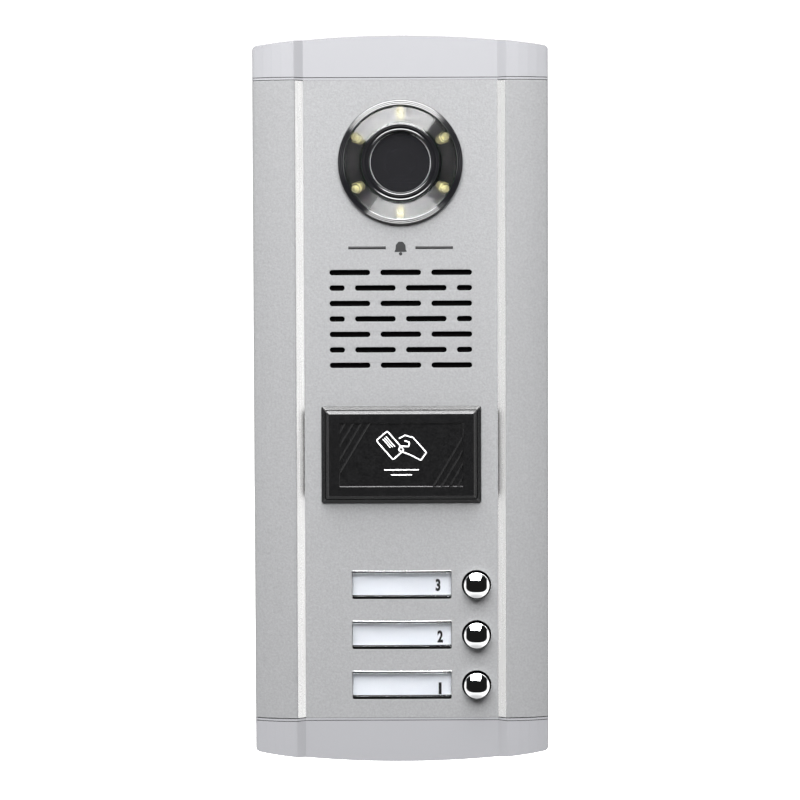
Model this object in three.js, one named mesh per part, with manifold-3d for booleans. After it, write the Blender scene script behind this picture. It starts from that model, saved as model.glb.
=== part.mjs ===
// Video door intercom panel: a wall-hung entrance station with a camera, a speaker, a card reader
// and three call buttons with lit name plates.
// Units are millimetres. +X is the viewer's right, +Y goes into the wall and +Z is up.
// The origin is the centre of the wall bracket's back face, on the wall's surface.
import * as THREE from 'three';
import { mergeVertices } from 'three/addons/utils/BufferGeometryUtils.js';
import Module from 'manifold-3d';

const wasm = await Module();
wasm.setup();

// ---------------------------------------------------------------- driving dimensions

const WIDTH = 130;
const HEIGHT = 320;
const HALF = WIDTH / 2;

// The aluminium profile, from the wall outwards.
const BACK_Y = -0.5; // rear edge of the side walls
const FACE_Y = -38; // the recessed centre face
const CREST_Y = -41; // the crest of each side wing
const SHOULDER_Y = -36.45; // where a wing would meet its side wall if the corner were sharp
const WING_CROWN = { x: 56.5, y: -40.4 }; // pulls a wing's curve outwards
const SHOULDER_ROUND = 1.6;
const SHEET = 1.8; // wall thickness of the profile
const CENTRE_HALF = 42.6; // half the width of the centre face
const CREST_X = 46.6;
const PROFILE_HALF = 140.3; // half the cut length of the profile

// The end caps.
const CAP_JOINT = 0.3; // visible gap between a cap and the profile
const CAP_ARCH = 4.6; // how far the cap's end rises from its corners to its middle
const CAP_CORNER = 2.2;
const CAP_WALL = 2.2;
const CAP_HOLLOW_END = 152.5;
const CAP_GROOVE = { start: 0.9, width: 0.3, depth: 0.35 }; // the shadow line above the joint
const SPIGOT_REACH = 11.5; // how far a cap plugs into the profile
const SPIGOT_GAP = 0.3;
const SPIGOT_WALL = 1.6;
const SPIGOT_NOTCH = 41.2; // half the gap in the spigot's front wall, clear of the fittings there

// The rear cover and the wall bracket.
const COVER_FRONT_Y = -5.5;
const COVER_BACK_Y = -3.5;
const COVER_HALF_X = 62.7;
const COVER_HALF_Z = PROFILE_HALF - 0.5;
const COVER_SCREW_X = 56.5;
const COVER_SCREW_Z = 135;
const BRACKET_SHEET = 1.5;
const BRACKET_HALF_X = 34;
const BRACKET_TOP = 112;
const BRACKET_FOOT = -152;
const HOOK_LEVELS = [95, -75];
const WIRING = { halfX: 28, low: 34, high: 52 }; // window over the terminals, in the rear cover
const BRACKET_WINDOW = { halfX: 30, low: 14, high: 60 };
const TRIMMER_Z = 24;

// The main board and the posts that carry it.
const MAIN_BOARD_Y = [-14, -12.4];
const BOARD_CORNERS = [[-38, -58], [38, -58], [-38, 62], [38, 62]];

// The camera unit, on its own axis.
const CAMERA_Z = 104.5;
const BEZEL_R = 27.4;
const CAMERA_HOLE_R = 26.7;
const DIFFUSER_R = [17.4, 24.6];
const SHROUD_R = 17.2;
const LED_CIRCLE_R = 22;
const LED_COUNT = 6;

// The speaker and its grille.
const GRILLE_Z = 35.9;
const GRILLE_ROWS = 7;
const GRILLE_ROW_PITCH = 6.8;
const GRILLE_SLOT_PITCH = 22.4;
const GRILLE_SLOT = { length: 17.9, width: 2.4 };
const GRILLE_HALF = 31.35;
const SPEAKER_R = 28.5;

// The card reader.
const READER_Z = -23.8;
const READER = { width: 70.4, height: 42.8 };
const READER_OPENING = { width: 66.4, height: 38.8 };
const READER_RIM = 1.7;

// The call rows, from the lowest to the highest.
const ROW_LEVELS = [-126.1, -103.85, -81.6];
const BUTTON_X = 33;
const BUTTON_HOLE_R = 6.5;
const BUTTON_R = 5.75;
const PLATE_OPENING = { width: 43.9, height: 12.6 };
const PLATE_WINDOW = { width: 43.4, height: 10.3, lift: 0.2 };

// Fineness of the round pieces.
const ROUND = 40;
const SMALL_ROUND = 20;

// ---------------------------------------------------------------- solids and meshes

/** A closed three.js geometry as a manifold-3d solid with its faces pointing out. */
function solid(geometry) {
  const bare = geometry.index ? geometry.toNonIndexed() : geometry.clone();
  bare.deleteAttribute('normal');
  bare.deleteAttribute('uv');
  const merged = mergeVertices(bare, 1e-4);
  const triangles = [];
  const index = merged.index.array;
  for (let i = 0; i < index.length; i += 3) {
    const [a, b, c] = [index[i], index[i + 1], index[i + 2]];
    if (a !== b && b !== c && c !== a) triangles.push(a, b, c);
  }
  const build = (triVerts) =>
    new wasm.Manifold(
      new wasm.Mesh({ numProp: 3, vertProperties: merged.attributes.position.array, triVerts }),
    );
  const made = build(new Uint32Array(triangles));
  return made.volume() > 0 ? made : build(new Uint32Array(triangles.reverse()));
}

/** A solid as a three.js geometry. */
function geometryOf(made) {
  const mesh = made.getMesh();
  return new THREE.BufferGeometry()
    .setAttribute('position', new THREE.BufferAttribute(mesh.vertProperties, 3))
    .setIndex(new THREE.BufferAttribute(mesh.triVerts, 1));
}

function joined(...solids) {
  return solids.reduce((sum, next) => sum.add(next));
}

function cut(from, ...tools) {
  return tools.reduce((rest, tool) => rest.subtract(tool), from);
}

function box(x0, x1, y0, y1, z0, z1) {
  const made = new THREE.BoxGeometry(x1 - x0, y1 - y0, z1 - z0);
  return solid(made.translate((x0 + x1) / 2, (y0 + y1) / 2, (z0 + z1) / 2));
}

/** An outline in X and Y, drawn out along Z. */
function prismZ(outline, z0, z1) {
  const shape = new THREE.Shape(outline);
  const made = new THREE.ExtrudeGeometry(shape, { depth: z1 - z0, bevelEnabled: false });
  return solid(made.translate(0, 0, z0));
}

/** A shape in X and Z, drawn out along Y. */
function prismY(shape, y0, y1, curveSegments = 5) {
  const made = new THREE.ExtrudeGeometry(shape, { depth: y1 - y0, bevelEnabled: false, curveSegments });
  return solid(made.translate(0, 0, -y1).rotateX(Math.PI / 2));
}

/** A profile of [radius, y] pairs turned round the Y axis. */
function turned(profile, segments = ROUND) {
  const points = profile.map(([r, y]) => new THREE.Vector2(r, y));
  return solid(new THREE.LatheGeometry(points, segments));
}

function ring(rIn, rOut, y0, y1, segments = ROUND) {
  return turned([[rIn, y0], [rOut, y0], [rOut, y1], [rIn, y1], [rIn, y0]], segments);
}

function disc(r, y0, y1, segments = ROUND) {
  return turned([[0, y0], [r, y0], [r, y1], [0, y1]], segments);
}

/** A disc whose axis is Z. */
function post(r, x, y, z0, z1, segments = SMALL_ROUND) {
  const made = new THREE.CylinderGeometry(r, r, z1 - z0, segments).rotateX(Math.PI / 2);
  return solid(made.translate(x, y, (z0 + z1) / 2));
}

function roundedRect(width, height, radius, x = 0, z = 0) {
  const [w, h] = [width / 2 - radius, height / 2 - radius];
  const shape = new THREE.Shape();
  shape.absarc(x + w, z + h, radius, 0, Math.PI / 2);
  shape.absarc(x - w, z + h, radius, Math.PI / 2, Math.PI);
  shape.absarc(x - w, z - h, radius, Math.PI, 1.5 * Math.PI);
  shape.absarc(x + w, z - h, radius, 1.5 * Math.PI, 2 * Math.PI);
  return shape;
}

/** A plate with its front edge chamfered all round: the front is at y0 and the back at y1. */
function chamferedPlate(width, height, radius, y0, y1, chamfer, z) {
  const slanted = new THREE.BoxGeometry(width, chamfer, height);
  const corners = slanted.attributes.position;
  for (let i = 0; i < corners.count; i++) {
    if (corners.getY(i) > 0) continue;
    corners.setX(i, corners.getX(i) - Math.sign(corners.getX(i)) * chamfer);
    corners.setZ(i, corners.getZ(i) - Math.sign(corners.getZ(i)) * chamfer);
  }
  const front = solid(slanted.translate(0, y0 + chamfer / 2, z));
  const back = box(-width / 2, width / 2, y0 + chamfer, y1, z - height / 2, z + height / 2);
  const outline = prismY(roundedRect(width, height, radius, 0, z), y0 - 1, y1 + 1, 3);
  return joined(front, back).intersect(outline);
}

// ---------------------------------------------------------------- the profile's section

function mirrored(right) {
  return [...right, ...right.map((p) => new THREE.Vector2(-p.x, p.y)).reverse()];
}

/** The outside of the section, from the right rear edge round the front to the left rear edge. */
function outerChain(backY = BACK_Y) {
  const path = new THREE.Path();
  const fall = (SHOULDER_Y - WING_CROWN.y) / (HALF - WING_CROWN.x); // the wing's slope at the shoulder
  path.moveTo(HALF, backY);
  path.lineTo(HALF, SHOULDER_Y + SHOULDER_ROUND);
  path.quadraticCurveTo(HALF, SHOULDER_Y, HALF - SHOULDER_ROUND, SHOULDER_Y - SHOULDER_ROUND * fall);
  path.quadraticCurveTo(WING_CROWN.x, WING_CROWN.y, CREST_X + 0.8, CREST_Y + 0.15);
  path.quadraticCurveTo(CREST_X, CREST_Y - 0.1, CREST_X - 0.7, CREST_Y + 0.5);
  path.lineTo(CENTRE_HALF, FACE_Y);
  return mirrored(path.getPoints(4));
}

/** A chain of points moved inwards by a distance. */
function shrunk(chain, distance) {
  const inward = (a, b) => new THREE.Vector2(b.y - a.y, a.x - b.x).normalize();
  return chain.map((p, i) => {
    const before = i > 0 ? inward(chain[i - 1], p) : inward(p, chain[i + 1]);
    const after = i < chain.length - 1 ? inward(p, chain[i + 1]) : before;
    const mitre = before.clone().add(after).normalize();
    return p.clone().addScaledVector(mitre, distance / mitre.dot(before));
  });
}

/** The section's sharp-cornered skeleton, moved inwards by a distance. */
function innerChain(distance, backY = BACK_Y) {
  const corners = mirrored([
    new THREE.Vector2(HALF, backY),
    new THREE.Vector2(HALF, SHOULDER_Y),
    new THREE.Vector2(WING_CROWN.x - 0.5, WING_CROWN.y + 0.7),
    new THREE.Vector2(CREST_X, CREST_Y),
    new THREE.Vector2(CENTRE_HALF, FACE_Y),
  ]);
  return shrunk(corners, distance);
}

function sectionRing(outside, inside, z0, z1) {
  return prismZ([...outside, ...[...inside].reverse()], z0, z1);
}

// ---------------------------------------------------------------- front panel

/** Lips along the profile's rear edges, which hold the rear cover. */
const LIP = { reach: 3, front: -3.2, back: -1.7 };

function grilleSlots() {
  const slots = [];
  for (let row = 0; row < GRILLE_ROWS; row++) {
    const z = GRILLE_Z + (row - (GRILLE_ROWS - 1) / 2) * GRILLE_ROW_PITCH;
    const offset = row % 2 ? GRILLE_SLOT_PITCH / 2 : 0;
    for (let column = -2; column <= 1 + (row % 2 ? 0 : 1); column++) {
      const middle = column * GRILLE_SLOT_PITCH + offset;
      const left = Math.max(middle - GRILLE_SLOT.length / 2, -GRILLE_HALF);
      const right = Math.min(middle + GRILLE_SLOT.length / 2, GRILLE_HALF);
      if (right - left < 2 * GRILLE_SLOT.width) continue;
      slots.push({ x: (left + right) / 2, z, length: right - left });
    }
  }
  return slots;
}

function frontPanel() {
  const inside = innerChain(SHEET);
  const [rightEnd, leftEnd] = [inside[0], inside[inside.length - 1]];
  const lipPoints = (x, towards) => [
    new THREE.Vector2(x, BACK_Y),
    new THREE.Vector2(x, LIP.back),
    new THREE.Vector2(x + towards * LIP.reach, LIP.back),
    new THREE.Vector2(x + towards * LIP.reach, LIP.front),
    new THREE.Vector2(x, LIP.front),
  ];
  const lined = [
    ...lipPoints(rightEnd.x, -1),
    ...inside.slice(1, -1),
    ...lipPoints(leftEnd.x, 1).reverse(),
  ];
  const profile = sectionRing(outerChain(), lined, -PROFILE_HALF, PROFILE_HALF);
  const front = [FACE_Y - 2, FACE_Y + SHEET + 1];
  const through = (shape, curveSegments) => prismY(shape, ...front, curveSegments);
  const cameraHole = disc(CAMERA_HOLE_R, ...front).translate([0, 0, CAMERA_Z]);
  const slots = grilleSlots().map(({ x, z, length }) =>
    through(roundedRect(length, GRILLE_SLOT.width, GRILLE_SLOT.width / 2 - 0.01, x, z), 3),
  );
  const readerOpening = through(
    roundedRect(READER_OPENING.width, READER_OPENING.height, 1.2, 0, READER_Z),
  );
  const callOpenings = ROW_LEVELS.flatMap((z) => [
    through(roundedRect(PLATE_OPENING.width, PLATE_OPENING.height, 1, 0, z), 3),
    disc(BUTTON_HOLE_R, ...front, 28).translate([BUTTON_X, 0, z]),
  ]);
  return cut(profile, cameraHole, readerOpening, ...slots, ...callOpenings);
}

// ---------------------------------------------------------------- end caps

/** The arched outline of a cap seen from the front, made smaller all round by an inset. */
function archShape(inset = 0) {
  const [x, corner, top] = [HALF - inset, HEIGHT / 2 - CAP_ARCH - inset, HEIGHT / 2 - inset];
  const radius = (x * x + CAP_ARCH * CAP_ARCH) / (2 * CAP_ARCH);
  const half = Math.asin((x - CAP_CORNER) / radius);
  const shape = new THREE.Shape();
  shape.moveTo(-x, 0);
  shape.lineTo(x, 0);
  shape.lineTo(x, corner - CAP_CORNER);
  const start = new THREE.Vector2(Math.sin(half), Math.cos(half)).multiplyScalar(radius);
  shape.quadraticCurveTo(x, corner, start.x, top - radius + start.y);
  shape.absarc(0, top - radius, radius, Math.PI / 2 - half, Math.PI / 2 + half);
  shape.quadraticCurveTo(-x, corner, -x, corner - CAP_CORNER);
  return shape;
}

/** A cap as it sits on the profile's upper end. */
function endCap() {
  const foot = PROFILE_HALF + CAP_JOINT;
  const outside = prismZ(outerChain(), foot, HEIGHT / 2 + 1);
  const arched = outside.intersect(prismY(archShape(), CREST_Y - 2, 1, 14));
  const hollow = prismZ(innerChain(CAP_WALL, COVER_FRONT_Y), foot - 1, CAP_HOLLOW_END);
  const grooveFoot = foot + CAP_GROOVE.start;
  const grooveTop = grooveFoot + CAP_GROOVE.width;
  const grooveFloor = prismZ(shrunk(outerChain(2), CAP_GROOVE.depth), grooveFoot - 1, grooveTop + 1);
  const groove = box(-WIDTH, WIDTH, CREST_Y - 2, 1, grooveFoot, grooveTop).subtract(grooveFloor);
  const rearRecess = box(-COVER_HALF_X, COVER_HALF_X, COVER_BACK_Y, 1, foot - 1, CAP_HOLLOW_END);
  const spigotOuter = SHEET + SPIGOT_GAP;
  const spigotInner = spigotOuter + SPIGOT_WALL;
  const spigotBack = COVER_FRONT_Y - 0.3;
  const inner = innerChain(spigotInner, spigotBack);
  const low = PROFILE_HALF - SPIGOT_REACH;
  const plug = sectionRing(innerChain(spigotOuter, spigotBack), inner, low, foot + 2);
  const spigot = plug.subtract(box(-SPIGOT_NOTCH, SPIGOT_NOTCH, FACE_Y, -32, low - 1, foot - 0.5));
  const step = sectionRing(innerChain(1, spigotBack), inner, foot, foot + 2);
  const bosses = [-1, 1].map((side) => {
    const [near, far] = [HALF - spigotInner + 0.4, COVER_SCREW_X - 4.5];
    const block = box(far, near, -22, spigotBack, low, COVER_SCREW_Z + 5);
    const bore = disc(1.55, -20, 0, SMALL_ROUND).translate([COVER_SCREW_X, 0, COVER_SCREW_Z]);
    const boss = block.subtract(bore);
    return side > 0 ? boss : boss.mirror([1, 0, 0]);
  });
  return joined(cut(arched, hollow, groove, rearRecess), spigot, step, ...bosses);
}

const SECURITY_SCREW_Y = -9;
const MICROPHONE = { x: -26, y: -24, floor: -152.5 };

function bottomCap() {
  const shell = endCap().mirror([0, 0, 1]);
  const tabNotch = box(-10, 10, COVER_FRONT_Y - 2, 1, -CAP_HOLLOW_END - 2, -PROFILE_HALF);
  const screwHole = post(1.9, 0, SECURITY_SCREW_Y, -HEIGHT / 2 - 1, -CAP_HOLLOW_END + 1);
  const screwSeat = post(3.4, 0, SECURITY_SCREW_Y, -HEIGHT / 2 - 1, -HEIGHT / 2 + 3);
  const soundHole = post(1, MICROPHONE.x, MICROPHONE.y, -HEIGHT / 2 - 1, MICROPHONE.floor + 1, 12);
  const drains = [-50, 50].map((x) => post(1.5, x, -20, -HEIGHT / 2 - 1, MICROPHONE.floor + 1, 12));
  return cut(shell, tabNotch, screwHole, screwSeat, soundHole, ...drains);
}

// ---------------------------------------------------------------- rear cover, bracket and their screws

function rearCover() {
  const plate = box(-COVER_HALF_X, COVER_HALF_X, COVER_FRONT_Y, COVER_BACK_Y, -COVER_HALF_Z, COVER_HALF_Z);
  const through = [COVER_FRONT_Y - 1, COVER_BACK_Y + 1];
  const wiring = box(-WIRING.halfX, WIRING.halfX, ...through, WIRING.low, WIRING.high);
  const trimmerHole = disc(3.2, ...through, SMALL_ROUND).translate([0, 0, TRIMMER_Z]);
  const hookSlots = HOOK_LEVELS.map((z) => box(-7, 7, ...through, z - 13, z + 0.8));
  const screwHoles = [-1, 1].flatMap((x) =>
    [-1, 1].map((z) =>
      disc(1.8, ...through, SMALL_ROUND).translate([x * COVER_SCREW_X, 0, z * COVER_SCREW_Z]),
    ),
  );
  const standOffs = BOARD_CORNERS.map(([x, z]) =>
    box(x - 2.5, x + 2.5, MAIN_BOARD_Y[1] + 0.1, COVER_FRONT_Y, z - 2.5, z + 2.5),
  );
  return joined(cut(plate, wiring, trimmerHole, ...hookSlots, ...screwHoles), ...standOffs);
}

function wallBracket() {
  const [half, front] = [BRACKET_HALF_X, -BRACKET_SHEET];
  const plate = prismY(
    roundedRect(2 * half, BRACKET_TOP - BRACKET_FOOT, 4, 0, (BRACKET_TOP + BRACKET_FOOT) / 2),
    front,
    0,
    3,
  );
  const footCut = [-1, 1].map((side) =>
    box(Math.min(side * 9, side * 40), Math.max(side * 9, side * 40), -3, 1, BRACKET_FOOT - 1, -128),
  );
  const window = prismY(
    roundedRect(
      2 * BRACKET_WINDOW.halfX,
      BRACKET_WINDOW.high - BRACKET_WINDOW.low,
      3,
      0,
      (BRACKET_WINDOW.high + BRACKET_WINDOW.low) / 2,
    ),
    -3,
    1,
    3,
  );
  const wallHoles = [-1, 1].flatMap((side) =>
    [100, -110].map((z) => disc(2.2, -3, 1, SMALL_ROUND).translate([side * 24, 0, z])),
  );
  const hooks = HOOK_LEVELS.map((z) =>
    joined(
      box(-6, 6, -8, front + 0.1, z - 1, z + 0.5),
      box(-6, 6, -8, -6.5, z - 1, z + 6),
    ),
  );
  const tab = box(-8, 8, -13, front + 0.1, BRACKET_FOOT, BRACKET_FOOT + 1.5);
  const tabHole = post(1.8, 0, SECURITY_SCREW_Y, BRACKET_FOOT - 1, BRACKET_FOOT + 3);
  return joined(cut(plate, window, ...footCut, ...wallHoles), ...hooks, tab).subtract(tabHole);
}

/** A pan-head screw that enters along -Y: its head's underside is at y 0 and its tip at -length. */
function coverScrew(length) {
  const screw = turned(
    [[0, 1.5], [1.6, 1.5], [2.5, 0.9], [2.8, 0], [1.25, 0], [1.25, 1 - length], [0, -length]],
    SMALL_ROUND,
  );
  return screw.subtract(crossRecess());
}

function crossRecess() {
  return joined(box(-1.4, 1.4, 0.6, 2, -0.25, 0.25), box(-0.25, 0.25, 0.6, 2, -1.4, 1.4));
}

/** The anti-tamper screw that locks the panel to the bracket's foot, with a hexagon socket and a pin in it. */
function securityScrew() {
  const [low, seat, tip] = [-HEIGHT / 2 + 0.8, -HEIGHT / 2 + 2.8, BRACKET_FOOT + 4];
  const y = SECURITY_SCREW_Y;
  const head = post(2.9, 0, y, low, seat);
  const shank = post(1.5, 0, y, seat - 0.1, tip);
  const socket = solid(
    new THREE.CylinderGeometry(1.3, 1.3, 2.4, 6).rotateX(Math.PI / 2).translate(0, y, low),
  );
  const pin = post(0.4, 0, y, low + 0.2, seat, 10);
  return joined(cut(joined(head, shank), socket), pin);
}

// ---------------------------------------------------------------- camera unit, about its axis

function cameraBezel() {
  return turned([
    [24.8, -36.4], [24.8, -39.4], [25.3, -40.2], [26.1, -40.5], [26.9, -40.1], [BEZEL_R, -39.2],
    [BEZEL_R, -38.4], [26.4, -38.4], [26.4, -36.4], [24.8, -36.4],
  ]);
}

/** The clear ring over the LEDs, almost flat. */
function ledDiffuser() {
  const [rIn, rOut] = DIFFUSER_R;
  return turned([[rIn, -37], [rIn, -38.2], [rOut, -38.6], [rOut, -37.2], [rIn, -37]]);
}

/** Where the illumination LEDs stand: one straight down, the others evenly round the lens. */
function ledPlaces() {
  return Array.from({ length: LED_COUNT }, (_, i) => {
    const angle = -Math.PI / 2 + (i * 2 * Math.PI) / LED_COUNT;
    return [LED_CIRCLE_R * Math.cos(angle), LED_CIRCLE_R * Math.sin(angle)];
  });
}

function ledReflector() {
  const dish = turned([[17.6, -34.4], [24.5, -36.1], [24.5, -33.9], [17.6, -33.4], [17.6, -34.4]], 36);
  const holes = ledPlaces().map(([x, z]) => disc(1.9, -38, -32, 10).translate([x, 0, z]));
  return cut(dish, ...holes);
}

function led() {
  const dome = turned([[0, -36.2], [0.9, -35.9], [1.4, -35.1], [1.4, -32.8], [0, -32.8]], 12);
  return joined(dome, box(-1.7, 1.7, -33.3, -32.2, -1.4, 1.4));
}

/** The black stepped ring round the window, with a groove between its two ridges. */
function lensShroud() {
  return turned([
    [13.7, -27], [13.7, -38.3], [14.3, -38.8], [14.9, -38.5], [15.1, -38], [15.6, -38],
    [16, -38.7], [16.7, -38.9], [SHROUD_R, -38.5], [SHROUD_R, -34.8], [16.4, -34.6],
    [16.4, -27], [13.7, -27],
  ]);
}

function lensBarrel() {
  return turned(
    [[0, -32.4], [2.6, -33], [3.4, -34.2], [5.8, -34.4], [6.4, -33.8], [6.4, -29], [5.6, -28.6],
      [5.6, -21], [0, -21]],
    32,
  );
}

function lensHolder() {
  const block = box(-8, 8, -26.5, -18.2, -8, 8);
  const bore = disc(5.9, -29, -20.7, 32);
  return cut(block, bore);
}

/** The cup behind the camera, with feet for its board and a notch for its cable. */
function cameraPod() {
  const shell = turned([
    [26.9, -33], [26.9, -35.9], [31, -35.9], [31, -34.4], [28.4, -34.4], [28.4, -12.5], [0, -12.5],
    [0, -14], [26.9, -14], [26.9, -33],
  ]);
  const cableNotch = box(-6, 6, -20, -11, -30, -24);
  const foot = (x, z) => box(x - 2, x + 2, -16.3, -13.9, z - 2, z + 2);
  const feet = [-14, 14].flatMap((x) => [-14, 14].map((z) => foot(x, z)));
  return joined(shell.subtract(cableNotch), ...feet);
}

// ---------------------------------------------------------------- speaker and microphone

function speakerBasket() {
  const frame = turned([
    [24.2, -33.3], [SPEAKER_R, -33.3], [SPEAKER_R, -32.2], [25.4, -32.2], [17, -23], [17, -21.8],
    [6, -21.8], [6, -23.2], [15.8, -23.2], [24.2, -32.4], [24.2, -33.3],
  ], 32);
  const windows = [0, 1, 2, 3].map((i) =>
    box(-6, 6, -31, -24.2, 12, 30).rotate([0, 45 + 90 * i, 0]),
  );
  return cut(frame, ...windows);
}

function speakerCone() {
  return turned([
    [0, -30.2], [4, -29.7], [7, -27.6], [20, -32.2], [21.4, -33.1], [22.6, -33.1], [23.4, -32.8],
    [23.4, -32.3], [22.4, -32.5], [21.6, -32.4], [20.2, -31.6], [7, -27], [7, -25.5], [5.6, -25.5],
    [5.6, -27.6], [3.8, -29], [0, -29.6],
  ], 24);
}

// ---------------------------------------------------------------- card reader

function readerFrame() {
  const sleeve = { width: READER_OPENING.width - 0.8, height: READER_OPENING.height - 0.8 };
  const flange = chamferedPlate(READER.width, READER.height, 1.4, -40.2, FACE_Y - 0.1, 1.6, READER_Z);
  const body = joined(
    flange,
    prismY(roundedRect(sleeve.width, sleeve.height, 1, 0, READER_Z), -39, -33, 3),
  );
  const rebate = prismY(
    roundedRect(READER.width - 2 * READER_RIM, READER.height - 2 * READER_RIM, 0.8, 0, READER_Z),
    -41,
    -39,
    3,
  );
  const bore = prismY(roundedRect(62, 34.4, 0.8, 0, READER_Z), -40, -32, 3);
  return cut(body, rebate, bore);
}

function readerCover() {
  const rim = 2 * READER_RIM + 0.4;
  const face = chamferedPlate(READER.width - rim, READER.height - rim, 0.8, -42, -39.2, 1.5, READER_Z);
  const lip = prismY(roundedRect(61.4, 33.8, 0.6, 0, READER_Z), -39.5, -36, 2);
  const hollow = prismY(roundedRect(58, 30.4, 0.6, 0, READER_Z), -40.2, -35, 2);
  const panel = prismY(roundedRect(54.5, 28, 0.4, 0, READER_Z), -43, -41.6, 2);
  return cut(joined(face, lip), hollow, panel);
}

function antennaCoil() {
  const outer = prismY(roundedRect(55, 28.5, 4, 0, READER_Z), -35.6, -35.1, 4);
  const inner = prismY(roundedRect(49, 22.5, 2.5, 0, READER_Z), -37, -34, 4);
  return outer.subtract(inner);
}

// ---------------------------------------------------------------- name plates and call buttons

const CARD_FLOOR_Y = -34.3; // the seat of a name card in the carrier
const CARRIER_Y = [-30.5, -28.5];
const BOARD_Y = [-22, -20.4];

function plateWindow() {
  const { width, height, lift } = PLATE_WINDOW;
  const bow = 0.5;
  const half = width / 2;
  const radius = (half * half + bow * bow) / (2 * bow);
  const angle = Math.asin(half / radius);
  const section = new THREE.Shape();
  section.moveTo(half, -34.9);
  section.lineTo(half, -37.9);
  const centreY = -37.9 - bow + radius;
  section.absarc(0, centreY, radius, -Math.PI / 2 + angle, -Math.PI / 2 - angle, true);
  section.lineTo(-half, -34.9);
  return prismZ(section.getPoints(10), lift - height / 2, lift + height / 2);
}

/** A chromed cap with straight sides and a domed front, on a flange that keeps it in the panel. */
function callButton() {
  const [domeTop, rim, edge] = [-43.6, -41.4, 0.5];
  const steps = 4;
  const flat = BUTTON_R - edge;
  const sphere = (flat * flat + (domeTop - rim) ** 2) / (2 * (rim - domeTop));
  const dome = Array.from({ length: steps + 1 }, (_, i) => {
    const r = (flat * i) / steps;
    return [r, domeTop + sphere - Math.sqrt(sphere * sphere - r * r)];
  });
  return turned(
    [...dome, [BUTTON_R, rim + edge], [BUTTON_R, -36], [7.6, -36], [7.6, -34.8], [1.7, -34.8],
      [1.7, -27.6], [0, -27.6]],
    24,
  );
}

/** The return spring between a button's flange and the carrier. */
function buttonSpring() {
  const [front, back, radius, turns, steps] = [-34.4, -30.9, 3.2, 3.25, 30];
  const points = Array.from({ length: steps + 1 }, (_, i) => {
    const angle = (i / steps) * turns * 2 * Math.PI;
    const y = front + ((back - front) * i) / steps;
    return new THREE.Vector3(radius * Math.cos(angle), y, radius * Math.sin(angle));
  });
  const wire = new THREE.Shape().absarc(0, 0, 0.3, 0, 2 * Math.PI);
  const extrudePath = new THREE.CatmullRomCurve3(points);
  return solid(new THREE.ExtrudeGeometry(wire, { steps, extrudePath, curveSegments: 3 }));
}

function tactSwitch() {
  return joined(box(-3, 3, -25.4, BOARD_Y[0], -3, 3), disc(1.75, -26, -25.3, 16));
}

function buttonCarrier() {
  const plate = box(-40, 42, ...CARRIER_Y, -137, -71);
  const towers = ROW_LEVELS.map((z) => box(-24, 24, -36, CARRIER_Y[0] + 0.1, z - 7.8, z + 7.8));
  const pockets = ROW_LEVELS.flatMap((z) => {
    const middle = z + PLATE_WINDOW.lift;
    return [
      box(-22.2, 22.2, -37, CARD_FLOOR_Y, middle - 5.45, middle + 5.45),
      box(-19, 19, -37, -27, middle - 3.5, middle + 3.5),
      disc(1.95, -37, -27, SMALL_ROUND).translate([BUTTON_X, 0, z]),
    ];
  });
  const feet = [
    [-37, -134],
    [39, -134],
    [-37, -74],
    [39, -74],
  ].map(([x, z]) => box(x - 2, x + 2, -28.6, BOARD_Y[0] - 0.2, z - 2, z + 2));
  return joined(cut(joined(plate, ...towers), ...pockets), ...feet);
}

// ---------------------------------------------------------------- electronics

function terminalBlock() {
  const body = box(-25.4, 25.4, MAIN_BOARD_Y[1] + 0.1, -6.6, 38, 48);
  const ways = Array.from({ length: 10 }, (_, i) => -22.86 + i * 5.08);
  const screws = ways.map((x) => disc(1.7, -8, -6, 12).translate([x, 0, 45]));
  const entries = ways.map((x) => box(x - 1.6, x + 1.6, -11.4, -8.4, 36, 41));
  return cut(body, ...screws, ...entries);
}

function trimmerRotor() {
  const knob = disc(2.4, -8.8, -7.6, SMALL_ROUND);
  return knob.subtract(box(-1.9, 1.9, -8.1, -7, -0.35, 0.35));
}

// ---------------------------------------------------------------- materials

function material(color, roughness, metalness = 0, opacity = 1) {
  return new THREE.MeshStandardMaterial({ color, roughness, metalness, opacity, transparent: opacity < 1 });
}

const anodised = material(0xc3c5c8, 0.42, 0.85);
const silverPaint = material(0xcfd0d4, 0.35, 0.35);
const blackPlastic = material(0x1a1a1b, 0.38);
const glossBlack = material(0x0c0c0e, 0.08);
const chrome = material(0xe6e8ea, 0.05, 1);
const steel = material(0xb4b7ba, 0.35, 1);
const clearPlastic = material(0xf2f5f7, 0.05, 0, 0.35);
const smokedGlass = material(0x0b0c10, 0.03, 0, 0.6);
const reflectorSilver = material(0xd8dadc, 0.2, 1);
const ledLens = material(0xf4f2c8, 0.15);
const cardPaper = material(0xf3f5fa, 0.7);
const cloth = material(0x050505, 0.95);
const foam = material(0x202020, 0.95);
const boardGreen = material(0x1c5a34, 0.5);
const copper = material(0xb87840, 0.3, 1);
const conePaper = material(0x2b2a28, 0.9);
const relayBlue = material(0x2a55a8, 0.4);

// ---------------------------------------------------------------- assembly

const intercom = new THREE.Group();

function place(name, made, finish, x = 0, z = 0) {
  const mesh = new THREE.Mesh(made.isBufferGeometry ? made : geometryOf(made), finish);
  mesh.name = name;
  mesh.position.set(x, 0, z);
  intercom.add(mesh);
  return mesh;
}

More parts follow.
